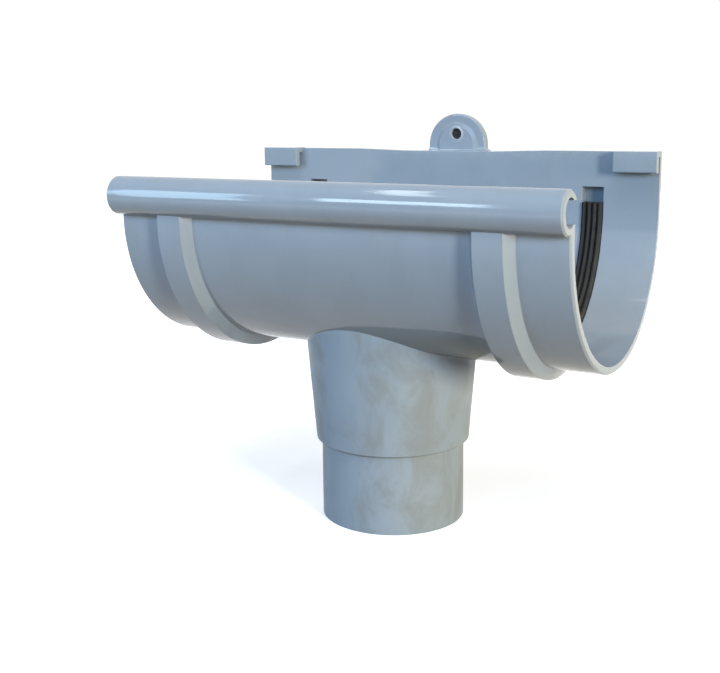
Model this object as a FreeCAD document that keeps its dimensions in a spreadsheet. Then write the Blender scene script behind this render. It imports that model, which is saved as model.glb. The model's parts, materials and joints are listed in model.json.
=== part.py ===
import FreeCAD, Part
import Sketcher
import math
import os

# Gutter outlet: a moulded grey plastic half-round trough with a tapered outlet and a round spigot below it.
# X runs along the gutter, -Y points to the front roll, +Y to the wall of the house, +Z is up.
# The origin is the centre of the spigot's lower end. Each piece is drawn about the trough's own axis,
# and its placement lifts that axis to its height above the spigot's end.

# Driving sizes in millimetres, and angles in degrees
SIZES = {
    # trough
    "trough_length": 217.0,
    "trough_radius": 64.0,      # outside
    "wall": 3.4,
    "back_height": 27.0,        # top of the clips above the trough's axis
    "wall_step": 0.25,          # back wall's top below the clips' top
    "wall_dip": 0.75,           # back wall's top lower still in front of the lug
    "dip_inner": 24.0,          # half length of the level part of the dip
    "dip_outer": 52.0,          # half length of the dip with its sloping ends
    "rim_bevel": 0.8,           # outer edge of the open ends
    "axis_height": 145.0,       # trough's axis above the spigot's lower end
    # outlet and spigot
    "mouth_radius": 45.5,       # outside of the tapered outlet, at the height of the trough's axis
    "shoulder_radius": 36.5,    # outside of the tapered outlet at its lower end
    "shoulder_bevel": 0.6,
    "outlet_wall": 3.2,
    "spigot_radius": 34.0,      # outside, a 68 mm downpipe's size
    "spigot_wall": 3.0,
    "spigot_length": 37.5,
    "inlet_round": 1.5,         # inside, where the water goes down from the trough
    # front roll, an open hook that the gutter's own front edge snaps into
    "roll_radius": 8.9,
    "roll_wall": 3.1,
    "roll_forward": 1.7,        # roll's centre in front of the trough's outside
    "roll_raise": 9.95,         # roll's centre above the trough's axis
    "roll_tip": 4.4,            # hook's tip above the roll's centre
    "lip_height": 5.4,          # front wall's edge inside the roll, above the trough's axis
    "lip_lean": 0.4,            # that edge leans this far into the trough
    # raised bands with the seal grooves inside
    "band_inset": 31.5,         # from the trough's end to the middle of the band
    "band_crown": 12.7,         # width of the flat top of the band
    "band_height": 5.0,
    "band_bevel": 3.3,          # width of each sloping side
    "band_cap": 3.4,            # material above the groove's upper end
    "band_front_rise": 3.0,     # band's front end above the trough's axis, inside the roll's wall
    "groove_width": 10.5,
    "groove_rise": 9.8,         # groove's rear end above the trough's axis
    # clips that hold the gutter's rear edge down
    "clip_length": 20.9,
    "clip_drop": 9.9,
    "clip_plate": 3.5,
    "clip_slot": 2.6,
    "clip_bridge": 2.5,
    "clip_round": 0.8,          # rounded front edges
    # fixing lug
    "lug_radius": 15.9,
    "lug_centre": 28.7,         # centre of the lug's round top above the trough's axis
    "lug_thickness": 3.8,
    "lug_standoff": 9.2,        # from the trough's outside to the lug's front face
    "lug_ledge": 3.0,           # thickness of the ledge that carries the lug
    "lug_flare": 1.7,           # ledge wider than the lug, each side
    "lug_skirt": 11.0,          # lug's plate below the ledge
    "lug_edge": 0.8,            # rounded front edge of the lug
    "lug_foot": 1.4,            # hollow round where the lug rises from the ledge
    "web_thickness": 2.5,
    "web_place": 11.5,          # each web's middle plane from the middle of the lug
    "web_foot": 4.0,            # web's lower end on the trough below the lug's plate
    "boss_radius": 11.6,        # raised field on the lug, round like the lug's own top
    "boss_top": 9.3,
    "boss_height": 0.8,
    "screw_radius": 2.8,
    "screw_raise": 34.4,        # screw hole above the trough's axis
    "screw_lip": 0.8,           # width of the raised ring round the hole
    "screw_lip_height": 0.4,
    "screw_lead": 0.3,          # bevel round the hole's front edge
    # rubber seals
    "seal_fit": 0.1,            # clearance between seal and groove
    "seal_rise": 2.2,           # seal's rear end above the trough's axis
    "seal_proud": 1.4,          # ribs stand this far inside the trough's inner face
    "rib_count": 4,
    "rib_pitch": 2.6,
    "rib_depth": 2.0,
    "rib_foot": 2.2,
    "rib_crest": 0.8,
}

doc = FreeCAD.newDocument("GutterOutlet")
sheet = doc.addObject("Spreadsheet::Sheet", "Sizes")
for row, (alias, size) in enumerate(SIZES.items(), start=1):
    sheet.set(f"A{row}", alias.replace("_", " "))
    sheet.set(f"B{row}", str(size))
    sheet.setAlias(f"B{row}", alias)
doc.recompute()

# Places that several features share, written from the sizes above
HALF = "Sizes.trough_length / 2"
OUTSIDE = "Sizes.trough_radius"
INSIDE = "(Sizes.trough_radius - Sizes.wall)"
IN_WALL = "(Sizes.trough_radius - Sizes.wall / 2)"
BAND_OUT = "(Sizes.trough_radius + Sizes.band_height)"
GROOVE_BED = "(Sizes.trough_radius + Sizes.band_height - Sizes.wall)"
BAND_MIDDLE = f"({HALF} - Sizes.band_inset)"
SHOULDER_Z = "(Sizes.axis_height - Sizes.spigot_length)"
WALL_TOP = "(Sizes.back_height - Sizes.wall_step)"
LEDGE_TOP = "(Sizes.back_height - Sizes.wall_step - Sizes.wall_dip)"
LEDGE_FOOT = "(Sizes.back_height - Sizes.wall_step - Sizes.wall_dip - Sizes.lug_ledge)"
LUG_FRONT = "(Sizes.trough_radius + Sizes.lug_standoff)"
SPIGOT_BORE = "(Sizes.spigot_radius - Sizes.spigot_wall)"
TAPER_BORE = "(Sizes.shoulder_radius - Sizes.outlet_wall)"
OVERCUT = 5.0


def new_body(label):
    """A body drawn about the trough's axis and lifted to that axis's height."""
    body = doc.addObject("PartDesign::Body", label)
    body.Label = label
    body.setExpression("Placement.Base.z", "Sizes.axis_height")
    return body


def origin(body, role):
    """One of the body's own origin planes or axes."""
    return next(item for item in body.Origin.OriginFeatures if item.Role == role)


def add_sketch(body, name, role, offset=None):
    """A sketch on an origin plane of the body, moved along the plane's normal."""
    sketch = body.newObject("Sketcher::SketchObject", name)
    sketch.AttachmentSupport = (origin(body, role), [""])
    sketch.MapMode = "FlatFace"
    if offset:
        sketch.setExpression("AttachmentOffset.Base.z", offset)
    return sketch


def pin(sketch, geometry, point, across, up, start):
    """Holds one point of a sketch at two expressions, from a start that keeps points apart."""
    measures = (("DistanceX", -2, across, start.x), ("DistanceY", -1, up, start.y))
    for kind, axis, expression, first in measures:
        if expression == "0":
            sketch.addConstraint(Sketcher.Constraint("PointOnObject", geometry, point, axis))
        else:
            index = sketch.addConstraint(Sketcher.Constraint(kind, -1, 1, geometry, point, first))
            sketch.setExpression(f"Constraints[{index}]", expression)


def add_outline(sketch, corners):
    """A closed outline of straight lines, with every corner held at its two expressions."""
    start = [FreeCAD.Vector(20 + 7 * k, 30 + (5 * k) ** 1.5, 0) for k in range(len(corners))]
    count = len(corners)
    lines = []
    for k in range(count):
        lines.append(sketch.addGeometry(Part.LineSegment(start[k], start[(k + 1) % count])))
    for k in range(count):
        sketch.addConstraint(Sketcher.Constraint("Coincident", lines[k], 2, lines[(k + 1) % count], 1))
    for k, (across, up) in enumerate(corners):
        pin(sketch, lines[k], 1, across, up, start[k])


def add_box(sketch, left, right, low, high):
    """A rectangle between two pairs of expressions."""
    add_outline(sketch, [(left, low), (right, low), (right, high), (left, high)])


def add_circle(sketch, across, up, radius):
    """A circle held at its centre, with its radius from an expression."""
    centre = FreeCAD.Vector(3, 4, 0)
    circle = sketch.addGeometry(Part.Circle(centre, FreeCAD.Vector(0, 0, 1), 5))
    index = sketch.addConstraint(Sketcher.Constraint("Radius", circle, 5))
    sketch.setExpression(f"Constraints[{index}]", radius)
    pin(sketch, circle, 3, across, up, centre)


def add_feature(body, kind, name, sketch, **settings):
    """A sketched feature; settings that are text are bound as expressions."""
    feature = body.newObject(f"PartDesign::{kind}", name)
    feature.Profile = sketch
    for key, setting in settings.items():
        if isinstance(setting, str) and key in ("Length", "Length2"):
            feature.setExpression(key, setting)
        else:
            setattr(feature, key, setting)
    sketch.Visibility = False
    return feature


def half_turn(body, kind, name, sketch):
    """Turns a profile half way round the trough's axis, from front wall to back wall."""
    axis = (origin(body, "X_Axis"), [""])
    return add_feature(body, kind, name, sketch, ReferenceAxis=axis, Angle=180.0, Midplane=True)


def full_turn(body, kind, name, sketch):
    """Turns a profile right round the outlet's upright axis."""
    axis = (origin(body, "Z_Axis"), [""])
    return add_feature(body, kind, name, sketch, ReferenceAxis=axis, Angle=360.0)


def mirror(body, name, features):
    """Repeats features on the other side of the middle plane of the outlet."""
    mirrored = body.newObject("PartDesign::Mirrored", name)
    mirrored.Originals = features
    mirrored.MirrorPlane = (origin(body, "YZ_Plane"), [""])
    body.Tip = mirrored
    doc.recompute()
    return mirrored


def edges_where(feature, test):
    """Names of the edges of a feature's shape that pass a test, in the body's own frame."""
    doc.recompute()
    return [f"Edge{n}" for n, edge in enumerate(feature.Shape.Edges, start=1) if test(edge)]


def dress(body, kind, name, base, size, expression, test):
    """A fillet or chamfer on every edge of the base that passes a test."""
    names = edges_where(base, test)
    if not names:
        raise RuntimeError(f"{name}: no edge found")
    feature = body.newObject(f"PartDesign::{kind}", name)
    feature.Base = (base, names)
    feature.setExpression(size, expression)
    body.Tip = feature
    doc.recompute()
    return feature


def value(alias):
    """A size read back from the sheet, for finding edges."""
    return float(sheet.get(alias))


def near(a, b):
    """Whether two lengths are the same for the purpose of finding an edge."""
    return abs(a - b) < 0.01


def is_circle(edge, radius):
    """Whether an edge is a circle or an arc of a given radius."""
    return isinstance(edge.Curve, Part.Circle) and near(edge.Curve.Radius, radius)


# Trough, outlet and spigot
def make_trough(body):
    """The solid half-round trough and the solid outlet below it, before they are hollowed."""
    sketch = add_sketch(body, "trough_section", "XZ_Plane")
    add_box(sketch, f"-{HALF}", HALF, f"-{OUTSIDE}", "0")
    half_turn(body, "Revolution", "trough_form", sketch)

    sketch = add_sketch(body, "outlet_section", "XZ_Plane")
    add_outline(sketch, [
        ("0", "-Sizes.axis_height"),
        ("Sizes.spigot_radius", "-Sizes.axis_height"),
        ("Sizes.spigot_radius", f"-{SHOULDER_Z}"),
        ("Sizes.shoulder_radius", f"-{SHOULDER_Z}"),
        ("Sizes.mouth_radius", "0"),
        ("0", "0"),
    ])
    full_turn(body, "Revolution", "outlet_form", sketch)

    sketch = add_sketch(body, "back_wall_outline", "XZ_Plane", f"-{INSIDE}")
    add_outline(sketch, [
        (f"-{HALF}", "0"),
        (HALF, "0"),
        (HALF, WALL_TOP),
        ("Sizes.dip_outer", WALL_TOP),
        ("Sizes.dip_inner", LEDGE_TOP),
        ("-Sizes.dip_inner", LEDGE_TOP),
        ("-Sizes.dip_outer", WALL_TOP),
        (f"-{HALF}", WALL_TOP),
    ])
    add_feature(body, "Pad", "back_wall", sketch, Length="Sizes.wall", Reversed=True)


# Raised bands
def band_corners(sign):
    """Outline of a band across its width, on the front (-1) or back (+1) of the trough."""
    left = f"({BAND_MIDDLE} - Sizes.band_crown / 2)"
    right = f"({BAND_MIDDLE} + Sizes.band_crown / 2)"
    depth = "" if sign > 0 else "-"
    return [
        (f"{left} - Sizes.band_bevel", f"{depth}{IN_WALL}"),
        (f"{left} - Sizes.band_bevel", f"{depth}{OUTSIDE}"),
        (left, f"{depth}{BAND_OUT}"),
        (right, f"{depth}{BAND_OUT}"),
        (f"{right} + Sizes.band_bevel", f"{depth}{OUTSIDE}"),
        (f"{right} + Sizes.band_bevel", f"{depth}{IN_WALL}"),
    ]


def make_bands(body):
    """A band round the trough near each end, carried straight up the back wall and under the roll."""
    sketch = add_sketch(body, "band_section", "XZ_Plane")
    add_outline(sketch, band_corners(-1))
    around = half_turn(body, "Revolution", "band_around", sketch)

    sketch = add_sketch(body, "band_back_section", "XY_Plane")
    add_outline(sketch, band_corners(1))
    back = add_feature(body, "Pad", "band_back", sketch, Length="Sizes.groove_rise + Sizes.band_cap")

    sketch = add_sketch(body, "band_front_section", "XY_Plane")
    add_outline(sketch, band_corners(-1))
    front = add_feature(body, "Pad", "band_front", sketch, Length="Sizes.band_front_rise")
    mirror(body, "bands", [around, back, front])


# Hollowing
def hollow(body):
    """The inside of the trough, the seal grooves and the way down through the outlet."""
    sketch = add_sketch(body, "trough_bore_section", "XZ_Plane")
    add_box(sketch, f"-{HALF} - {OVERCUT}", f"{HALF} + {OVERCUT}", f"-{INSIDE}", "0")
    half_turn(body, "Groove", "trough_bore", sketch)

    left = f"({BAND_MIDDLE} - Sizes.groove_width / 2)"
    right = f"({BAND_MIDDLE} + Sizes.groove_width / 2)"
    sketch = add_sketch(body, "seal_groove_section", "XZ_Plane")
    add_box(sketch, left, right, f"-{GROOVE_BED}", f"-{INSIDE} + {OVERCUT}")
    around = half_turn(body, "Groove", "seal_groove_around", sketch)

    sketch = add_sketch(body, "seal_groove_back_section", "XY_Plane")
    add_box(sketch, left, right, f"{INSIDE} - {OVERCUT}", GROOVE_BED)
    back = add_feature(body, "Pocket", "seal_groove_back", sketch, Length="Sizes.groove_rise", Reversed=True)
    mirror(body, "seal_grooves", [around, back])

    sketch = add_sketch(body, "outlet_bore_section", "XZ_Plane")
    add_outline(sketch, [
        ("0", f"-Sizes.axis_height - {OVERCUT}"),
        (SPIGOT_BORE, f"-Sizes.axis_height - {OVERCUT}"),
        (SPIGOT_BORE, f"-{SHOULDER_Z}"),
        (TAPER_BORE, f"-{SHOULDER_Z} + {TAPER_BORE} - {SPIGOT_BORE}"),
        ("Sizes.mouth_radius - Sizes.outlet_wall", "0"),
        ("0", "0"),
    ])
    full_turn(body, "Groove", "outlet_bore", sketch)


# Front roll
def make_roll(body):
    """The open hook along the front edge, with the front wall's edge standing up inside it."""
    centre_y = "(-Sizes.trough_radius - Sizes.roll_forward)"
    tip_z = "Sizes.roll_raise + Sizes.roll_tip"
    channel_floor = "Sizes.roll_raise - Sizes.roll_radius + Sizes.roll_wall"
    sketch = add_sketch(body, "roll_section", "YZ_Plane")
    add_circle(sketch, centre_y, "Sizes.roll_raise", "Sizes.roll_radius")
    add_circle(sketch, centre_y, "Sizes.roll_raise", "Sizes.roll_radius - Sizes.roll_wall")
    add_feature(body, "Pad", "roll", sketch, Length="Sizes.trough_length", Midplane=True)

    sketch = add_sketch(body, "roll_neck_foot", "XY_Plane")
    add_box(sketch, f"-{HALF}", HALF, f"-{OUTSIDE}", f"-{INSIDE}")
    add_feature(body, "Pad", "roll_neck", sketch, Length=channel_floor)

    clear_y = "(-Sizes.trough_radius + Sizes.roll_radius)"
    sketch = add_sketch(body, "roll_mouth_section", "YZ_Plane")
    add_outline(sketch, [
        (f"-{INSIDE}", "0"),
        (clear_y, "0"),
        (clear_y, tip_z),
        (centre_y, tip_z),
        (centre_y, "Sizes.lip_height"),
        (f"-{INSIDE} + Sizes.lip_lean", "Sizes.lip_height"),
    ])
    through = f"Sizes.trough_length + {OVERCUT}"
    add_feature(body, "Pocket", "roll_mouth", sketch, Length=through, Midplane=True)


# Clips
def make_clips(body):
    """A clip at each end of the back wall: a front plate hung from a bridge, with a slot behind it."""
    plate_back = f"{INSIDE} - Sizes.clip_slot"
    plate_front = f"{plate_back} - Sizes.clip_plate"
    plate_foot = "Sizes.back_height - Sizes.clip_drop"
    bridge_foot = "Sizes.back_height - Sizes.clip_bridge"
    sketch = add_sketch(body, "clip_section", "YZ_Plane", f"{HALF} - Sizes.clip_length")
    add_outline(sketch, [
        (plate_front, plate_foot),
        (plate_back, plate_foot),
        (plate_back, bridge_foot),
        (OUTSIDE, bridge_foot),
        (OUTSIDE, "Sizes.back_height"),
        (plate_front, "Sizes.back_height"),
    ])
    clip = add_feature(body, "Pad", "clip", sketch, Length="Sizes.clip_length")
    mirror(body, "clips", [clip])


# Fixing lug
def add_lug_outline(sketch, radius, floor):
    """The lug or its raised field from the front: a round top on straight sides."""
    whole = Part.Circle(FreeCAD.Vector(0, 30, 0), FreeCAD.Vector(0, 0, 1), 15)
    arc = sketch.addGeometry(Part.ArcOfCircle(whole, 0, math.pi))
    starts = [FreeCAD.Vector(across, up, 0) for across, up in ((-15, 30), (-15, 10), (15, 10), (15, 30))]
    lines = [sketch.addGeometry(Part.LineSegment(a, b)) for a, b in zip(starts, starts[1:])]
    joins = (
        (arc, 2, lines[0], 1),
        (lines[0], 2, lines[1], 1),
        (lines[1], 2, lines[2], 1),
        (lines[2], 2, arc, 1),
    )
    for join in joins:
        sketch.addConstraint(Sketcher.Constraint("Coincident", *join))
    sketch.addConstraint(Sketcher.Constraint("Vertical", lines[0]))
    sketch.addConstraint(Sketcher.Constraint("Vertical", lines[2]))
    sketch.addConstraint(Sketcher.Constraint("Horizontal", lines[1]))
    sketch.addConstraint(Sketcher.Constraint("Horizontal", arc, 1, arc, 3))
    sketch.addConstraint(Sketcher.Constraint("Horizontal", arc, 2, arc, 3))
    sketch.addConstraint(Sketcher.Constraint("PointOnObject", arc, 3, -2))
    for kind, arguments, expression in (
        ("Radius", (arc, 15), radius),
        ("DistanceY", (-1, 1, arc, 3, 30), "Sizes.lug_centre"),
        ("DistanceY", (-1, 1, lines[1], 1, 10), floor),
    ):
        index = sketch.addConstraint(Sketcher.Constraint(kind, *arguments))
        sketch.setExpression(f"Constraints[{index}]", expression)


def make_lug(body):
    """The lug stands on a ledge behind the back wall, with a web under each side of it."""
    ledge_half = "(Sizes.lug_radius + Sizes.lug_flare)"
    lug_floor = f"({LEDGE_FOOT} - Sizes.lug_skirt)"
    sketch = add_sketch(body, "lug_ledge_section", "XY_Plane", LEDGE_FOOT)
    add_box(sketch, f"-{ledge_half}", ledge_half, IN_WALL, f"{LUG_FRONT} + Sizes.lug_thickness")
    add_feature(body, "Pad", "lug_ledge", sketch, Length="Sizes.lug_ledge")

    sketch = add_sketch(body, "lug_outline", "XZ_Plane", f"-{LUG_FRONT}")
    add_lug_outline(sketch, "Sizes.lug_radius", lug_floor)
    add_feature(body, "Pad", "lug_plate", sketch, Length="Sizes.lug_thickness", Reversed=True)

    sketch = add_sketch(body, "lug_web_outline", "YZ_Plane", "Sizes.web_place")
    plate_middle = f"{LUG_FRONT} + Sizes.lug_thickness / 2"
    add_outline(sketch, [
        (IN_WALL, f"{lug_floor} - Sizes.web_foot"),
        (plate_middle, lug_floor),
        (plate_middle, LEDGE_FOOT),
        (IN_WALL, LEDGE_FOOT),
    ])
    web = add_feature(body, "Pad", "lug_web", sketch, Length="Sizes.web_thickness", Midplane=True)
    return mirror(body, "lug_webs", [web])


def round_lug(body, feature):
    """The lug's rounded front edge, and the hollow round at its foot."""
    front = value("trough_radius") + value("lug_standoff")
    ledge_top = value("back_height") - value("wall_step") - value("wall_dip")

    def at_front(edge):
        return is_circle(edge, value("lug_radius")) and near(edge.Curve.Center.y, front)

    def at_foot(edge):
        points = edge.discretize(5)
        level = all(near(p.z, ledge_top) for p in points)
        return level and all(p.y > front - 0.01 and abs(p.x) < value("lug_radius") + 0.01 for p in points)

    feature = dress(body, "Fillet", "lug_edge", feature, "Radius", "Sizes.lug_edge", at_front)
    return dress(body, "Fillet", "lug_foot", feature, "Radius", "Sizes.lug_foot", at_foot)


def make_screw_hole(body):
    """A raised field on the lug, with the screw hole in it and a raised ring round the hole."""
    sketch = add_sketch(body, "lug_boss_outline", "XZ_Plane", f"-{LUG_FRONT}")
    add_lug_outline(sketch, "Sizes.boss_radius", LEDGE_FOOT)
    boss = add_feature(body, "Pad", "lug_boss", sketch, Length="Sizes.boss_height")
    boss.setExpression("TaperAngle", "-atan((Sizes.boss_radius - Sizes.boss_top) / Sizes.boss_height)")

    ring = body.newObject("PartDesign::AdditiveCone", "screw_ring")
    ring.AttachmentSupport = (origin(body, "XZ_Plane"), [""])
    ring.MapMode = "FlatFace"
    ring.setExpression("AttachmentOffset.Base.y", "Sizes.screw_raise")
    ring.setExpression("AttachmentOffset.Base.z", f"-{LUG_FRONT} + Sizes.boss_height")
    ring.setExpression("Radius1", "Sizes.screw_radius + Sizes.screw_lip")
    ring.setExpression("Radius2", "Sizes.screw_radius + Sizes.screw_lip / 2")
    ring.setExpression("Height", "Sizes.screw_lip_height")

    sketch = add_sketch(body, "screw_hole_circle", "XZ_Plane", f"-{LUG_FRONT} - Sizes.lug_thickness / 2")
    add_circle(sketch, "0", "Sizes.screw_raise", "Sizes.screw_radius")
    depth = f"2 * (Sizes.lug_thickness + Sizes.boss_height + Sizes.screw_lip_height) + {OVERCUT}"
    return add_feature(body, "Pocket", "screw_hole", sketch, Length=depth, Midplane=True)


# Bevels and rounded edges
def round_edges(body, feature):
    """Bevels at the screw hole, the shoulder and the open ends, and the rounded edges elsewhere."""
    boss_front = value("trough_radius") + value("lug_standoff") - value("boss_height")
    ring_front = boss_front - value("screw_lip_height")
    shoulder = -value("axis_height") + value("spigot_length")
    half = value("trough_length") / 2
    clip_back = value("trough_radius") - value("wall") - value("clip_slot")
    clip_front = clip_back - value("clip_plate")
    clip_foot = value("back_height") - value("clip_drop")

    def at_screw_front(edge):
        return is_circle(edge, value("screw_radius")) and near(edge.Curve.Center.y, ring_front)

    def at_shoulder(edge):
        return is_circle(edge, value("shoulder_radius")) and near(edge.Curve.Center.z, shoulder)

    def at_rim(edge):
        points = edge.discretize(5)
        if not all(near(abs(p.x), half) for p in points):
            return False
        on_wall = all(near(p.y, value("trough_radius")) for p in points)
        return on_wall or is_circle(edge, value("trough_radius")) or is_circle(edge, value("roll_radius"))

    def at_clip_front(edge):
        points = edge.discretize(5)
        if not all(near(p.y, clip_front) for p in points):
            return False
        at_end = all(near(abs(p.x), half - value("clip_length")) for p in points)
        return at_end or all(near(p.z, clip_foot) for p in points)

    def at_inlet(edge):
        points = edge.discretize(12)
        inside = value("trough_radius") - value("wall")
        on_trough = all(near(math.hypot(p.y, p.z), inside) for p in points)
        reach = max(math.hypot(p.x, p.y) for p in points)
        return on_trough and reach < value("mouth_radius") and all(p.z < 0 for p in points)

    feature = dress(body, "Chamfer", "screw_lead", feature, "Size", "Sizes.screw_lead", at_screw_front)
    feature = dress(body, "Chamfer", "shoulder_bevel", feature, "Size", "Sizes.shoulder_bevel", at_shoulder)
    feature = dress(body, "Chamfer", "rim_bevel", feature, "Size", "Sizes.rim_bevel", at_rim)
    feature = dress(body, "Fillet", "clip_round", feature, "Radius", "Sizes.clip_round", at_clip_front)
    return dress(body, "Fillet", "inlet_round", feature, "Radius", "Sizes.inlet_round", at_inlet)


def make_outlet():
    """The whole grey moulding."""
    body = new_body("outlet_body")
    make_trough(body)
    make_bands(body)
    hollow(body)
    make_roll(body)
    make_clips(body)
    round_lug(body, make_lug(body))
    drilled = make_screw_hole(body)
    body.Tip = drilled
    round_edges(body, drilled)
    return body


# Rubber seals
def make_seal(label, side):
    """A flat rubber strip bent into a groove, with ribs along it that press on the gutter."""
    body = new_body(label)
    sign = "-" if side < 0 else ""
    centre = f"{sign}{BAND_MIDDLE}"
    half_width = "(Sizes.groove_width / 2 - Sizes.seal_fit)"
    bed = "(Sizes.trough_radius + Sizes.band_height - Sizes.wall - Sizes.seal_fit)"
    crest = f"({INSIDE} - Sizes.seal_proud)"
    valley = f"({crest} + Sizes.rib_depth)"
    root = f"({valley} + Sizes.rib_depth / 2)"
    first_rib = f"({centre} - Sizes.rib_pitch * (Sizes.rib_count - 1) / 2)"

    def strip(sketch, depth):
        left, right = f"{centre} - {half_width}", f"{centre} + {half_width}"
        add_box(sketch, left, right, f"{depth}{bed}", f"{depth}{valley}")

    def rib(sketch, depth):
        add_outline(sketch, [
            (f"{first_rib} - Sizes.rib_foot / 2", f"{depth}{root}"),
            (f"{first_rib} - Sizes.rib_foot / 2", f"{depth}{valley}"),
            (f"{first_rib} - Sizes.rib_crest / 2", f"{depth}{crest}"),
            (f"{first_rib} + Sizes.rib_crest / 2", f"{depth}{crest}"),
            (f"{first_rib} + Sizes.rib_foot / 2", f"{depth}{valley}"),
            (f"{first_rib} + Sizes.rib_foot / 2", f"{depth}{root}"),
        ])

    ribs = []
    for name, draw in (("strip", strip), ("rib", rib)):
        sketch = add_sketch(body, f"{label}_{name}_section", "XZ_Plane")
        draw(sketch, "-")
        around = half_turn(body, "Revolution", f"{label}_{name}_around", sketch)
        sketch = add_sketch(body, f"{label}_{name}_back_section", "XY_Plane")
        draw(sketch, "")
        back = add_feature(body, "Pad", f"{label}_{name}_back", sketch, Length="Sizes.seal_rise")
        ribs = [around, back]

    pattern = body.newObject("PartDesign::LinearPattern", f"{label}_ribs")
    pattern.Originals = ribs
    pattern.Direction = (origin(body, "X_Axis"), [""])
    pattern.setExpression("Length", "Sizes.rib_pitch * (Sizes.rib_count - 1)")
    pattern.setExpression("Occurrences", "Sizes.rib_count")
    body.Tip = pattern
    return body


pieces = [make_outlet(), make_seal("seal_left", -1), make_seal("seal_right", 1)]
doc.recompute()

# Every object is checked before any file is written
for item in doc.Objects:
    if "Invalid" in item.State or "Error" in item.State:
        raise RuntimeError(f"{item.Name} failed: {item.State}")
for piece in pieces:
    if piece.Shape.isNull() or not piece.Shape.isValid():
        raise RuntimeError(f"{piece.Label} has no valid shape")
    if len(piece.Shape.Solids) != 1:
        raise RuntimeError(f"{piece.Label} is not one solid")

os.makedirs("parts", exist_ok=True)
for piece in pieces:
    piece.Shape.exportStep(f"parts/{piece.Label}.step")
    box = piece.Shape.BoundBox
    low = ", ".join(f"{v:.2f}" for v in (box.XMin, box.YMin, box.ZMin))
    high = ", ".join(f"{v:.2f}" for v in (box.XMax, box.YMax, box.ZMax))
    print(f"{piece.Label}: volume {piece.Shape.Volume:.1f} mm3, from ({low}) to ({high})")
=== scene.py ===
# %% [markdown]
# # A half-round gutter outlet
# This outlet hangs between two lengths of half-round gutter and lets their water down into a pipe.
# The real one is a single grey plastic moulding with two black rubber seals pressed into its grooves.
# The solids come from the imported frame, so every form is already there at its real size. What is left
# to make here is how it looks: the camera, the plastic, the rubber, the floor and the light.

# %% Load the frame
import json
import math

import bmesh
import bpy
from mathutils import Matrix, Vector


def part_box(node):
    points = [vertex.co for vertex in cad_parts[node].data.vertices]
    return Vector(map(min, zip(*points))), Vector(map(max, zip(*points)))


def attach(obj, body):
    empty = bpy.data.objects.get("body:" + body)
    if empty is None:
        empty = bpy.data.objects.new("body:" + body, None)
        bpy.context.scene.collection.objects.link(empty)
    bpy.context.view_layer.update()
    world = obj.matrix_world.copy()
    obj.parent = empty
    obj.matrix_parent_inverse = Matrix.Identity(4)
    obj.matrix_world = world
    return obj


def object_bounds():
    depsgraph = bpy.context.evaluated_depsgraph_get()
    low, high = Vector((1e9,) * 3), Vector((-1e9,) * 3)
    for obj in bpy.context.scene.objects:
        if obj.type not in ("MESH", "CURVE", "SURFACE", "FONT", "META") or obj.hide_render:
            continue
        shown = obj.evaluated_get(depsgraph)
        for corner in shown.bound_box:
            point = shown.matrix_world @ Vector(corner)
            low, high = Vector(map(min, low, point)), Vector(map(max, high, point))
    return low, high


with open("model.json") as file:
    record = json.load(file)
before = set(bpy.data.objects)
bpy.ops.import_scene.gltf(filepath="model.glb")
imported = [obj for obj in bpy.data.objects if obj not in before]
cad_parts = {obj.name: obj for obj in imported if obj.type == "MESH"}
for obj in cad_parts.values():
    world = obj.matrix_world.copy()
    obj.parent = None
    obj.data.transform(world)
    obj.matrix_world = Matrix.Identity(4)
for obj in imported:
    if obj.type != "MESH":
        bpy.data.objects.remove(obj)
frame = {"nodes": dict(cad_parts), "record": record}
CAD_LOW, CAD_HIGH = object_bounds()
MIDDLE = (CAD_LOW + CAD_HIGH) / 2
SIZE_MM = [round(1000 * (high - low), 1) for low, high in zip(CAD_LOW, CAD_HIGH)]
print("frame holds", sorted(frame["nodes"]), "and measures", SIZE_MM, "mm")

# %% [markdown]
# ## Camera
# The picture that this scene follows was taken from a little above the front roll and to the right
# of it, from about half a metre away, so the near end looks larger than the far one. A camera could
# be placed by eye, but then lines that run away from us would meet at the wrong point. Here its
# place, turn, tilt and focal length are numbers found once from the straight edges and round ends of
# the object. Three plain rotations, one after the other, keep them readable: roll, tilt, then turn.

# %% Place the camera
PICTURE_WIDTH, PICTURE_HEIGHT = 720, 673
SENSOR_MM = 36.0
FOCAL_PIXELS = 1079.7
OPTICAL_CENTRE = (346.5, 276.8)
CAMERA_PLACE = Vector((0.2354, -0.4455, 0.1951))
CAMERA_TURN = math.radians(30.29)
CAMERA_DOWN = math.radians(9.07)
CAMERA_ROLL = math.radians(-0.70)


def place_camera():
    """A camera with the picture's own place, direction and framing."""
    lens = bpy.data.cameras.new("camera")
    lens.sensor_width = SENSOR_MM
    lens.lens = FOCAL_PIXELS / PICTURE_WIDTH * SENSOR_MM
    lens.shift_x = (PICTURE_WIDTH / 2 - OPTICAL_CENTRE[0]) / PICTURE_WIDTH
    lens.shift_y = (OPTICAL_CENTRE[1] - PICTURE_HEIGHT / 2) / PICTURE_WIDTH
    camera = bpy.data.objects.new("camera", lens)
    bpy.context.scene.collection.objects.link(camera)
    turn = Matrix.Rotation(CAMERA_TURN, 4, "Z")
    tilt = Matrix.Rotation(math.pi / 2 - CAMERA_DOWN, 4, "X")
    roll = Matrix.Rotation(CAMERA_ROLL, 4, "Z")
    camera.matrix_world = Matrix.Translation(CAMERA_PLACE) @ turn @ tilt @ roll
    bpy.context.scene.camera = camera
    return camera


camera = place_camera()
print(f"camera lens {camera.data.lens:.1f} mm, {(CAMERA_PLACE - MIDDLE).length:.2f} m away")

# %% [markdown]
# ## A small kit for node materials
# A material is a graph of nodes, and written out in full each link takes a line. A few short helpers
# keep the recipes below readable: one adds a node and sets its inputs by name, another feeds an
# input with either a number or another node's output, and the rest are the steps used most.

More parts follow.
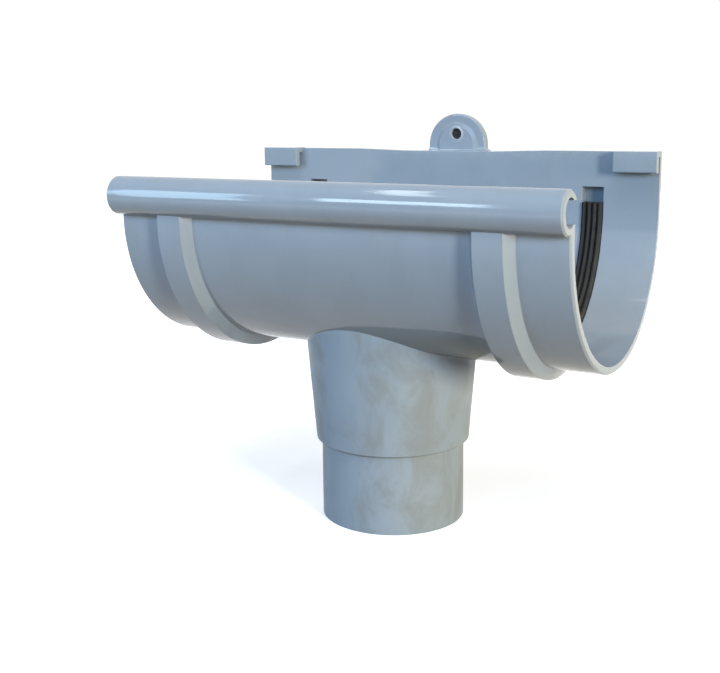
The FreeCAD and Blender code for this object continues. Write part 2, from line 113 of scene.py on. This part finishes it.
# %% Materials and nodes


def new_material(name):
    """An empty node material with its output and principled shader."""
    material = bpy.data.materials.new(name)
    material.use_nodes = True
    tree = material.node_tree
    tree.nodes.clear()
    output = tree.nodes.new("ShaderNodeOutputMaterial")
    shader = tree.nodes.new("ShaderNodeBsdfPrincipled")
    tree.links.new(shader.outputs["BSDF"], output.inputs["Surface"])
    return material, tree, shader


def feed(tree, socket, source):
    """Sets an input to a plain value, or links it to another node's output."""
    if isinstance(source, bpy.types.NodeSocket):
        tree.links.new(source, socket)
    else:
        socket.default_value = source


def add_node(tree, kind, inputs=None, **settings):
    """Adds a node, with its own settings and its inputs by name or number."""
    node = tree.nodes.new(kind)
    for key, setting in settings.items():
        setattr(node, key, setting)
    for key, source in (inputs or {}).items():
        feed(tree, node.inputs[key], source)
    return node


print("nodes can be added and fed")

# %% The steps used most


def do_math(tree, operation, *sources):
    """One arithmetic step on numbers or outputs."""
    return add_node(tree, "ShaderNodeMath", dict(enumerate(sources)), operation=operation).outputs[0]


def do_vector(tree, operation, *sources):
    """One step on vectors; the result is the vector, or the number for a length or a dot product."""
    node = add_node(tree, "ShaderNodeVectorMath", dict(enumerate(sources)), operation=operation)
    return node.outputs["Value" if operation in ("LENGTH", "DOT_PRODUCT") else "Vector"]


def ramp(tree, source, low, high, to_low=0.0, to_high=1.0):
    """Stretches a range of values smoothly onto another."""
    inputs = {"Value": source, "From Min": low, "From Max": high, "To Min": to_low, "To Max": to_high}
    node = add_node(tree, "ShaderNodeMapRange", inputs, interpolation_type="SMOOTHSTEP")
    return node.outputs["Result"]


MIX_FIRST, MIX_SECOND, MIX_RESULT = 6, 7, 2


def mix_colour(tree, share, first, second):
    """Mixes two colours, plain ones or outputs; the node's colour sockets go by their numbers."""
    inputs = {"Factor": share, MIX_FIRST: first, MIX_SECOND: second}
    return add_node(tree, "ShaderNodeMix", inputs, data_type="RGBA").outputs[MIX_RESULT]


def noise(tree, place, scale, detail, roughness=0.5, distortion=0.0):
    """A soft random pattern, read at a place in metres."""
    inputs = {"Vector": place, "Scale": scale, "Detail": detail,
              "Roughness": roughness, "Distortion": distortion}
    return add_node(tree, "ShaderNodeTexNoise", inputs).outputs["Fac"]


def stretch(tree, place, *scales):
    """The same place with its axes scaled, which draws a pattern out along the smaller ones."""
    return do_vector(tree, "MULTIPLY", place, Vector(scales))


print("steps for numbers, vectors, colours and noise ready")

# %% [markdown]
# ## Where on the moulding a point lies
# The roll and the trough came from a polished part of the mould and shine softly. The outlet below
# them is duller, with smudges from handling. It is one shot of the same plastic, so it stays one
# material. What tells its parts apart are masks worked out from the point's own place: the outlet is
# what lies near the upright axis and outside the trough, and the seal grooves, which get painted
# shade, are what lies deeper than the trough's inner wall beside the seals. The lug, which gets
# painted shade too, is what stands above the back wall, and the ring painted pale as a highlight is
# what lies close to the screw hole.

# %% Sizes that tell the parts apart
MOUNTS = {mount["name"]: mount for mount in frame["record"]["mounts"]}
SCREW_PLACE, SCREW_OUT = (Vector(MOUNTS["screw_hole"][key]) for key in ("pos_m", "axis"))
SCREW_RADIUS, SCREW_LENGTH = (MOUNTS["screw_hole"]["dims"][key] / 1000 for key in ("r_mm", "length_mm"))
AXIS_HEIGHT = MOUNTS["gutter_end_right"]["pos_m"][2]
TROUGH_RADIUS = 0.064
TROUGH_WALL = 0.0034
BAND_HEIGHT = 0.0050
OUTLET_TAPER = 0.013
LUG_REACH = 0.018
LUG_HEIGHT = 0.0185
SOFT_STEP = 0.0008

TROUGH_INSIDE = TROUGH_RADIUS - TROUGH_WALL
GROOVE_BED = TROUGH_INSIDE + BAND_HEIGHT
OUTLET_REACH = MOUNTS["spigot"]["dims"]["r_mm"] / 1000 + OUTLET_TAPER
LUG_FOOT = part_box("outlet_body")[1][2] - LUG_HEIGHT
SEAL_LOW, SEAL_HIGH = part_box("seal_right")
SEAL_MIDDLE, SEAL_HALF = (SEAL_LOW[0] + SEAL_HIGH[0]) / 2, (SEAL_HIGH[0] - SEAL_LOW[0]) / 2
print(f"outlet lies within {1000 * OUTLET_REACH:.0f} mm of the upright axis")

# %% Distances in the frame


def object_place(tree):
    """The point being shaded, in the frame's own metres."""
    return add_node(tree, "ShaderNodeTexCoord").outputs["Object"]


def depth_from_axis(tree, place):
    """How far a point is from the trough's middle: round below its axis, flat above it."""
    parts = add_node(tree, "ShaderNodeSeparateXYZ", {"Vector": place}).outputs
    below = do_math(tree, "MAXIMUM", do_math(tree, "SUBTRACT", AXIS_HEIGHT, parts["Z"]), 0.0)
    across = add_node(tree, "ShaderNodeCombineXYZ", {"Y": parts["Y"], "Z": below}).outputs["Vector"]
    return do_vector(tree, "LENGTH", across)


def distance_along(tree, place):
    """How far along the gutter a point is from the outlet's middle, to either side."""
    parts = add_node(tree, "ShaderNodeSeparateXYZ", {"Vector": place}).outputs
    return do_math(tree, "ABSOLUTE", parts["X"])


def distance_from_screw(tree, place):
    """How far a point is from the screw hole's axis."""
    from_hole = do_vector(tree, "SUBTRACT", place, SCREW_PLACE)
    return do_vector(tree, "LENGTH", stretch(tree, from_hole, 1.0, 0.0, 1.0))


print(f"seals lie {1000 * SEAL_MIDDLE:.1f} mm from the outlet's middle")

# %% Masks by place


def outlet_mask(tree, place, depth):
    """1 on the tapered outlet and the spigot, 0 on everything above."""
    from_axis = do_vector(tree, "LENGTH", stretch(tree, place, 1.0, 1.0, 0.0))
    near_axis = ramp(tree, from_axis, OUTLET_REACH + SOFT_STEP, OUTLET_REACH)
    outside = ramp(tree, depth, TROUGH_RADIUS, TROUGH_RADIUS + SOFT_STEP)
    return do_math(tree, "MULTIPLY", near_axis, outside)


def groove_mask(tree, place, depth):
    """1 on the bed and walls of the seal grooves."""
    off_middle = do_math(tree, "SUBTRACT", distance_along(tree, place), SEAL_MIDDLE)
    beside = do_math(tree, "ABSOLUTE", off_middle)
    within = ramp(tree, beside, SEAL_HALF + 2 * SOFT_STEP, SEAL_HALF + SOFT_STEP)
    deep = ramp(tree, depth, TROUGH_INSIDE, TROUGH_INSIDE + SOFT_STEP)
    inner = ramp(tree, depth, GROOVE_BED + SOFT_STEP, GROOVE_BED + SOFT_STEP / 2)
    return do_math(tree, "MULTIPLY", within, do_math(tree, "MULTIPLY", deep, inner))


def lug_mask(tree, place):
    """1 on the lug above the back wall."""
    parts = add_node(tree, "ShaderNodeSeparateXYZ", {"Vector": place}).outputs
    high = ramp(tree, parts["Z"], LUG_FOOT, LUG_FOOT + 2 * SOFT_STEP)
    narrow = ramp(tree, distance_along(tree, place), LUG_REACH + SOFT_STEP, LUG_REACH)
    return do_math(tree, "MULTIPLY", high, narrow)


print(f"masks fade over {1000 * SOFT_STEP:.1f} mm")

# %% [markdown]
# ## Soft moulded edges
# No edge of a moulding is razor sharp: plastic can't fill the very corner of the mould, so each edge
# has a round of a few tenths of a millimetre that catches a thin line of light. Rounding them all in
# the mesh would multiply its faces. The Bevel node bends only the shading near each edge, and where
# its normal and the true one disagree most is the edge itself, whose colour gets a painted highlight.

# %% Rounded edges for shading
EDGE_ROUND = 0.0004
EDGE_STARTS, EDGE_FULL = 0.995, 0.86


def soft_edges(tree):
    """The rounded normal, and a mask that is 1 along the edges."""
    rounded = add_node(tree, "ShaderNodeBevel", {"Radius": EDGE_ROUND}, samples=6).outputs["Normal"]
    true_normal = add_node(tree, "ShaderNodeNewGeometry").outputs["Normal"]
    agreement = do_vector(tree, "DOT_PRODUCT", rounded, true_normal)
    return rounded, ramp(tree, agreement, EDGE_STARTS, EDGE_FULL)


print(f"edges round over {1000 * EDGE_ROUND:.1f} mm")

# %% [markdown]
# ## Painted shade in slots and corners
# The opposite happens in slots and inner corners, which get painted shade: their colour is darkened
# where little light reaches. They could be marked by place as well, but there are many. The Ambient
# Occlusion node finds them all: it says how much of a small ball around a point is free of other
# surfaces.

# %% Painted shade in the crevices
CREVICE_WIDTH = 0.0025
CREVICE_STARTS, CREVICE_FULL = 0.55, 0.15


def crevice_shade_mask(tree):
    """1 deep in grooves, slots and inner corners, 0 on open faces."""
    inputs = {"Distance": CREVICE_WIDTH}
    openness = add_node(tree, "ShaderNodeAmbientOcclusion", inputs, samples=8).outputs["AO"]
    return ramp(tree, openness, CREVICE_STARTS, CREVICE_FULL)


print(f"crevices reach {1000 * CREVICE_WIDTH:.1f} mm")

# %% [markdown]
# ## The plastic's colour
# The colour of the plastic is even, so its life comes from small things: a faint cloudiness of the
# pigment, and smudges and upright rub marks on the outlet. Painted shade darkens the lug, the
# grooves and the slots, and painted highlights pale the edges and a ring round the screw hole. One
# flat colour would look like a drawing. The patterns are noise read in metres, so they keep their
# real scale.

# %% Plastic colours
PLASTIC = (0.267, 0.350, 0.445, 1.0)
PLASTIC_CLOUD = (0.282, 0.365, 0.460, 1.0)
SMUDGE = (0.225, 0.275, 0.305, 1.0)
# Painted highlight: the pale colour of the edges and of the ring round the screw hole.
PAINTED_HIGHLIGHT = (0.38, 0.46, 0.54, 1.0)
# Painted shade: the dark that slots, inner corners and the seal grooves are mixed towards.
PAINTED_SHADE = (0.06, 0.075, 0.1, 1.0)
# Painted shade: the darker colour of the lug.
LUG_SHADE = (0.235, 0.31, 0.40, 1.0)
RING_WIDTH = 0.0012
RING_FADE = 0.0003
CLOUD_SPAN = (0.35, 0.65)
SMEAR_SPAN = (0.42, 0.66)
OUTLET_SMUDGES, OTHER_SMUDGES = 0.85, 0.15
GROOVE_SHADE, CREVICE_SHADE = 0.2, 0.65
LUG_SHADE_SHARE, EDGE_HIGHLIGHT, RING_HIGHLIGHT = 0.7, 0.45, 0.8


def plastic_colour(tree, place, depth, outlet, edge):
    """Pigment cloud, outlet smudges, painted shade on lug, grooves and slots, painted edge and ring
    highlights.
    """
    cloud = ramp(tree, noise(tree, place, scale=30.0, detail=4.0), *CLOUD_SPAN)
    colour = mix_colour(tree, cloud, PLASTIC, PLASTIC_CLOUD)
    upright = stretch(tree, place, 1.0, 1.0, 0.5)
    smears = noise(tree, upright, scale=60.0, detail=6.0, roughness=0.62, distortion=0.6)
    reach = ramp(tree, outlet, 0.0, 1.0, OTHER_SMUDGES, OUTLET_SMUDGES)
    share = do_math(tree, "MULTIPLY", ramp(tree, smears, *SMEAR_SPAN), reach)
    colour = mix_colour(tree, share, colour, SMUDGE)
    # Painted shade on the bed and walls of the seal grooves.
    share = do_math(tree, "MULTIPLY", groove_mask(tree, place, depth), GROOVE_SHADE)
    colour = mix_colour(tree, share, colour, PAINTED_SHADE)
    # Painted shade that darkens the lug.
    share = do_math(tree, "MULTIPLY", lug_mask(tree, place), LUG_SHADE_SHARE)
    colour = mix_colour(tree, share, colour, LUG_SHADE)
    # A painted highlight: a pale ring round the screw hole.
    ring_edge = SCREW_RADIUS + RING_WIDTH
    ring = ramp(tree, distance_from_screw(tree, place), ring_edge + RING_FADE, ring_edge)
    # Painted highlights along the edges and on the ring round the screw hole.
    highlighted = do_math(tree, "MAXIMUM", do_math(tree, "MULTIPLY", edge, EDGE_HIGHLIGHT),
                   do_math(tree, "MULTIPLY", ring, RING_HIGHLIGHT))
    colour = mix_colour(tree, highlighted, colour, PAINTED_HIGHLIGHT)
    # Painted shade in slots and inner corners, found by the Ambient Occlusion node.
    share = do_math(tree, "MULTIPLY", crevice_shade_mask(tree), CREVICE_SHADE)
    return mix_colour(tree, share, colour, PAINTED_SHADE)


# The ring is a painted highlight round the screw hole.
print(f"the screw's head rubs a ring {1000 * RING_WIDTH:.1f} mm wide")

# %% [markdown]
# ## The plastic's gloss and relief
# A moulding is only as smooth as its mould. The roll and trough shine, yet a wave of a tenth of a
# millimetre, an orange peel and fine drag lines along the gutter make their highlights waver. The
# outlet is rougher, with a grain that spreads each highlight wide. Too small to model, these are
# heights that bend the shading, each in metres.

# %% Plastic gloss and relief
POLISHED_ROUGHNESS = (0.055, 0.10)
DULL_ROUGHNESS = (0.42, 0.58)
PATCH_SPAN = (0.3, 0.7)
WAVE_HEIGHT = 0.00008
PEEL_HEIGHT = 0.000012
DRAG_HEIGHT = 0.000011
GRAIN_HEIGHT = 0.00002
POLISHED_GRAIN = 0.15


def plastic_gloss(tree, place, outlet):
    """Roughness: low on the roll and trough, higher and patchier on the outlet."""
    patches = noise(tree, place, scale=55.0, detail=5.0, roughness=0.6)
    polished = ramp(tree, patches, *PATCH_SPAN, *POLISHED_ROUGHNESS)
    dull = ramp(tree, patches, *PATCH_SPAN, *DULL_ROUGHNESS)
    spread = do_math(tree, "SUBTRACT", dull, polished)
    return do_math(tree, "MULTIPLY_ADD", spread, outlet, polished)


def raise_relief(tree, height, distance, normal, strength=1.0):
    """Bends a normal by a height pattern, whose full swing is the distance."""
    inputs = {"Height": height, "Distance": distance, "Strength": strength, "Normal": normal}
    return add_node(tree, "ShaderNodeBump", inputs).outputs["Normal"]


def plastic_relief(tree, place, rounded, outlet):
    """A soft wave, orange peel and drag lines along the gutter, and a grain on the dull outlet."""
    wave = noise(tree, stretch(tree, place, 0.7, 1.0, 1.0), scale=34.0, detail=1.0)
    waved = raise_relief(tree, wave, WAVE_HEIGHT, rounded)
    peel = noise(tree, place, scale=230.0, detail=2.0)
    peeled = raise_relief(tree, peel, PEEL_HEIGHT, waved)
    lines = noise(tree, stretch(tree, place, 0.03, 1.0, 1.0), scale=700.0, detail=3.0, roughness=0.6)
    polish = ramp(tree, outlet, 0.0, 1.0, 1.0, 0.0)
    dragged = raise_relief(tree, lines, DRAG_HEIGHT, peeled, polish)
    grain = noise(tree, place, scale=1400.0, detail=2.0)
    strength = ramp(tree, outlet, 0.0, 1.0, POLISHED_GRAIN, 1.0)
    return raise_relief(tree, grain, GRAIN_HEIGHT, dragged, strength)


def make_grey_plastic():
    """The whole finish of the moulding."""
    material, tree, shader = new_material("grey_plastic")
    place = object_place(tree)
    depth = depth_from_axis(tree, place)
    outlet = outlet_mask(tree, place, depth)
    rounded, edge = soft_edges(tree)
    feed(tree, shader.inputs["Base Color"], plastic_colour(tree, place, depth, outlet, edge))
    feed(tree, shader.inputs["Roughness"], plastic_gloss(tree, place, outlet))
    feed(tree, shader.inputs["Normal"], plastic_relief(tree, place, rounded, outlet))
    return material


plastic = make_grey_plastic()
print("plastic has", len(plastic.node_tree.nodes), "nodes")

# %% [markdown]
# ## Black rubber seals
# Each seal is an extruded strip, bent into its groove. Extrusion leaves fine lines along its length,
# which here run round the trough, and black rubber never stays black: dust settles on the crests of
# its ribs, and less of it shows on the half towards the outlet's middle. The lines depend almost
# only on the place along the gutter, so a pattern drawn out round the trough's axis makes them.

# %% Rubber
RUBBER = (0.020, 0.023, 0.027, 1.0)
RUBBER_DUST = (0.052, 0.056, 0.051, 1.0)
RUBBER_ROUGHNESS = (0.62, 0.80)
RUBBER_SPECULAR = 0.3
LINE_SPAN = (0.35, 0.65)
DUST_SPAN = (0.3, 0.6)
INNER_DUST = 0.25
INNER_DUST_SPAN = (-0.4 * SEAL_HALF, 0.2 * SEAL_HALF)
LINE_HEIGHT = 0.00006


def make_rubber():
    """Dull black rubber with drawn lines and a little dust."""
    material, tree, shader = new_material("seal_rubber")
    place = object_place(tree)
    round_trough = stretch(tree, place, 1.0, 0.02, 0.02)
    lines = noise(tree, round_trough, scale=2600.0, detail=3.0, roughness=0.6)
    dust = noise(tree, place, scale=240.0, detail=5.0, roughness=0.65)
    dusty = do_math(tree, "MULTIPLY", ramp(tree, lines, *LINE_SPAN), ramp(tree, dust, *DUST_SPAN))
    outward = do_math(tree, "SUBTRACT", distance_along(tree, place), SEAL_MIDDLE)
    # Less dust on the half of the seal towards the outlet's middle.
    share = do_math(tree, "MULTIPLY", dusty, ramp(tree, outward, *INNER_DUST_SPAN, INNER_DUST, 1.0))
    feed(tree, shader.inputs["Base Color"], mix_colour(tree, share, RUBBER, RUBBER_DUST))
    feed(tree, shader.inputs["Roughness"], ramp(tree, dust, *PATCH_SPAN, *RUBBER_ROUGHNESS))
    shader.inputs["Specular IOR Level"].default_value = RUBBER_SPECULAR
    normal = add_node(tree, "ShaderNodeNewGeometry").outputs["Normal"]
    feed(tree, shader.inputs["Normal"], raise_relief(tree, lines, LINE_HEIGHT, normal))
    return material


rubber = make_rubber()
print("rubber has", len(rubber.node_tree.nodes), "nodes")

# %% [markdown]
# ## Dress the solids
# Each solid of the frame takes its finish through its material slots. A new mesh could stand in for
# it, but the solids have the real shapes already, so their meshes stay as they are.

# %% Dress the solids


def dress(node, material):
    """Gives a node of the frame its finish."""
    for slot in frame["nodes"][node].material_slots:
        slot.material = material


dress("outlet_body", plastic)
for seal in ("seal_left", "seal_right"):
    dress(seal, rubber)
print("dressed", sorted(frame["nodes"]))

# %% [markdown]
# ## Painted shade in the screw hole
# In the picture the screw hole is black, though its rim is pale, so something dark closes it from
# behind: most likely a thin rubber washer that keeps the screw from falling out. Nothing shows how it
# is fixed. A thin disc of the black rubber, which just fits the hole and sits a little inside it, is
# painted shade that keeps the hole dark; it is not a part of the object, and it is kept as plain as
# can be.

# %% Painted shade in the screw hole
HOLE_SHADE_THICKNESS = 0.0008
HOLE_SHADE_GAP = 0.00005
HOLE_SHADE_DEPTH = 0.0018
HOLE_SHADE_SIDES = 48


def make_hole_shade():
    """A thin dark disc across the screw hole, below its rim, as painted shade."""
    radius = SCREW_RADIUS - HOLE_SHADE_GAP
    middle = SCREW_PLACE + (SCREW_LENGTH / 2 - HOLE_SHADE_DEPTH) * SCREW_OUT
    mesh = bpy.data.meshes.new("screw_hole_shade")
    form = bmesh.new()
    turn = Matrix.Translation(middle) @ SCREW_OUT.to_track_quat("Z", "Y").to_matrix().to_4x4()
    bmesh.ops.create_cone(form, cap_ends=True, segments=HOLE_SHADE_SIDES, radius1=radius, radius2=radius,
                          depth=HOLE_SHADE_THICKNESS, matrix=turn)
    form.to_mesh(mesh)
    form.free()
    hole_shade = bpy.data.objects.new("screw_hole_shade", mesh)
    bpy.context.scene.collection.objects.link(hole_shade)
    mesh.materials.append(rubber)
    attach(hole_shade, "root")
    return hole_shade


hole_shade = make_hole_shade()
print(hole_shade.name, "is", round(1000 * hole_shade.dimensions.x, 2), "mm across")

# %% [markdown]
# ## Floor
# The outlet stands on the end of its spigot, and a wide pale plane carries its shadow. To the camera
# and in reflections it is white enough to melt into the background, while the light that it throws
# back up at the object is that of a plain warm ground, which is what browns the undersides here.
# The Light Path node tells the two apart.

# %% Make the floor
FLOOR_HALF = 6.0
FLOOR_SEEN = (0.76, 0.79, 0.84, 1.0)
FLOOR_BOUNCE = (0.15, 0.08, 0.01, 1.0)
FLOOR_GLOW = 0.5
SHADOW_REACH = (0.2, 0.7)
WHITE = (1.0, 1.0, 1.0, 1.0)


def seen_directly(tree):
    """1 for what the camera sees, straight or in a reflection or through glass, else 0."""
    path = add_node(tree, "ShaderNodeLightPath").outputs
    seen = do_math(tree, "MAXIMUM", path["Is Camera Ray"], path["Is Glossy Ray"])
    return do_math(tree, "MAXIMUM", seen, path["Is Transmission Ray"])


def make_floor():
    """A wide pale floor under the spigot's end."""
    mesh = bpy.data.meshes.new("floor")
    corners = [(x * FLOOR_HALF, y * FLOOR_HALF, 0.0) for x, y in ((-1, -1), (1, -1), (1, 1), (-1, 1))]
    mesh.from_pydata(corners, [], [(0, 1, 2, 3)])
    floor = bpy.data.objects.new("floor", mesh)
    bpy.context.scene.collection.objects.link(floor)
    material, tree, shader = new_material("floor")
    seen = seen_directly(tree)
    feed(tree, shader.inputs["Base Color"], mix_colour(tree, seen, FLOOR_BOUNCE, FLOOR_SEEN))
    shader.inputs["Roughness"].default_value = 1.0
    shader.inputs["Specular IOR Level"].default_value = 0.0
    shader.inputs["Emission Color"].default_value = WHITE
    away = do_vector(tree, "LENGTH", object_place(tree))
    glow = ramp(tree, away, *SHADOW_REACH, FLOOR_GLOW, 1.0)
    feed(tree, shader.inputs["Emission Strength"], do_math(tree, "MULTIPLY", seen, glow))
    mesh.materials.append(material)
    return floor


floor = make_floor()
print("floor laid at height", floor.location.z)

# %% [markdown]
# ## Light
# The light is that of a plain room. A small lamp on the right, hardly higher than the object, does
# most of the work: it draws the narrow shadows to the left of the bands and the clips, and their
# width tells where it stands. A warm one further round brings out the faces that look along the
# gutter, a large one overhead lights the tops, and dim ones in front and behind fill the rest. The
# warm one and the one behind light but aren't mirrored: one would glare along the inside of the
# trough, and the other would draw a white line along the top of the roll.

# %% A lamp with a level


def add_lamp(name, place, aim, width, height, level):
    """A soft box that renders a white card at its aim as bright as its level says."""
    reach = (Vector(aim) - Vector(place)).length
    strongest = max(level)
    light = bpy.data.lights.new(name, "AREA")
    light.shape = "RECTANGLE"
    light.size, light.size_y = width, height
    light.color = [part / strongest for part in level]
    light.energy = strongest * (math.pi * reach) ** 2
    lamp = bpy.data.objects.new(name, light)
    bpy.context.scene.collection.objects.link(lamp)
    lamp.location = place
    lamp.rotation_euler = (Vector(aim) - Vector(place)).to_track_quat("-Z", "Y").to_euler()
    lamp.visible_camera = False
    print(f"{name} stands {reach:.2f} m away")
    return lamp


def around(azimuth, elevation, distance):
    """A place at a distance from the object's middle, by compass angle from +X and height angle."""
    turn, rise = math.radians(azimuth), math.radians(elevation)
    way = Vector((math.cos(turn) * math.cos(rise), math.sin(turn) * math.cos(rise), math.sin(rise)))
    return MIDDLE + distance * way


print("lamps aim at", [round(part, 3) for part in MIDDLE])

# %% Large soft boxes
KEY_LEVEL = (0.76, 0.73, 0.67)
HIGH_LEVEL = (0.44, 0.39, 0.38)
SIDE_LEVEL = (0.42, 0.29, 0.10)
REAR_LEVEL = (0.55, 0.55, 0.54)
FILL_LEVEL = (0.03, 0.08, 0.16)
add_lamp("key_box", around(azimuth=-30, elevation=13, distance=1.6), MIDDLE,
         width=0.25, height=0.5, level=KEY_LEVEL)
add_lamp("high_box", around(azimuth=-60, elevation=68, distance=1.8), MIDDLE,
         width=1.2, height=1.0, level=HIGH_LEVEL)
side = add_lamp("side_box", around(azimuth=-5, elevation=7, distance=1.5), MIDDLE,
                width=0.8, height=0.3, level=SIDE_LEVEL)
rear = add_lamp("rear_box", around(azimuth=105, elevation=25, distance=1.8), MIDDLE,
                width=1.2, height=1.0, level=REAR_LEVEL)
add_lamp("fill_box", around(azimuth=-85, elevation=28, distance=1.8), MIDDLE,
         width=1.0, height=0.7, level=FILL_LEVEL)
side.visible_glossy = rear.visible_glossy = False

# %% [markdown]
# ## Highlights on the roll
# A glossy rod mirrors each lamp as a line. To put a highlight where it belongs, start from the
# highlight: mirror the camera's ray at that place on the roll, and stand the lamp where the mirrored
# ray ends up. A window on the left draws the long streak, and a strip and a skylight the other two.

# %% Lamps mirrored in the roll
ROLL_RADIUS = 0.0089
ROLL_HEIGHT = 0.155


def add_mirrored_lamp(name, along, height_angle, distance, width, height, level):
    """A soft box whose mirror image shows at a given place along and up the roll."""
    tilt = math.radians(height_angle)
    outward = Vector((0.0, -math.cos(tilt), math.sin(tilt)))
    spot = Vector((along, CAD_LOW.y + ROLL_RADIUS, ROLL_HEIGHT)) + ROLL_RADIUS * outward
    mirrored = (spot - CAMERA_PLACE).normalized().reflect(outward)
    lamp = add_lamp(name, spot + distance * mirrored, spot, width, height, level)
    along_roll = (Vector((1.0, 0.0, 0.0)) - mirrored.x * mirrored).normalized()
    axes = Matrix((along_roll, mirrored.cross(along_roll), mirrored)).transposed()
    lamp.rotation_euler = axes.to_euler()
    return lamp


WINDOW_LEVEL = (0.12, 0.185, 0.24)
STRIP_LEVEL = (0.145, 0.195, 0.245)
SKYLIGHT_LEVEL = (0.07, 0.08, 0.087)
add_mirrored_lamp("left_window", along=-0.070, height_angle=12.5, distance=1.15,
                  width=0.19, height=0.62, level=WINDOW_LEVEL)
add_mirrored_lamp("front_strip", along=0.043, height_angle=14.5, distance=1.0,
                  width=0.22, height=0.25, level=STRIP_LEVEL)
add_mirrored_lamp("skylight", along=0.042, height_angle=42.0, distance=1.5,
                  width=0.085, height=0.8, level=SKYLIGHT_LEVEL)

# %% [markdown]
# ## Sky
# What the lamps leave dark, an even dim sky fills. To the camera and in reflections it is plain
# white instead, which gives the white background of the picture.

# %% The sky
SKY_LEVEL = (0.09, 0.08, 0.05, 1.0)


def make_sky():
    """A soft sky that the camera and reflections see as plain white."""
    world = bpy.data.worlds.new("sky")
    world.use_nodes = True
    tree = world.node_tree
    tree.nodes.clear()
    sky = add_node(tree, "ShaderNodeBackground", {"Color": SKY_LEVEL})
    white = add_node(tree, "ShaderNodeBackground", {"Color": WHITE})
    inputs = {0: seen_directly(tree), 1: sky.outputs[0], 2: white.outputs[0]}
    mix = add_node(tree, "ShaderNodeMixShader", inputs)
    output = add_node(tree, "ShaderNodeOutputWorld")
    tree.links.new(mix.outputs[0], output.inputs["Surface"])
    bpy.context.scene.world = world
    return world


sky = make_sky()
print("sky has", len(sky.node_tree.nodes), "nodes")

# %% [markdown]
# ## View
# A film-like view would soften the whites and grey the background. The Standard view writes each
# colour out as it is.

# %% View settings
bpy.context.scene.view_settings.view_transform = "Standard"
print("view transform is", bpy.context.scene.view_settings.view_transform)
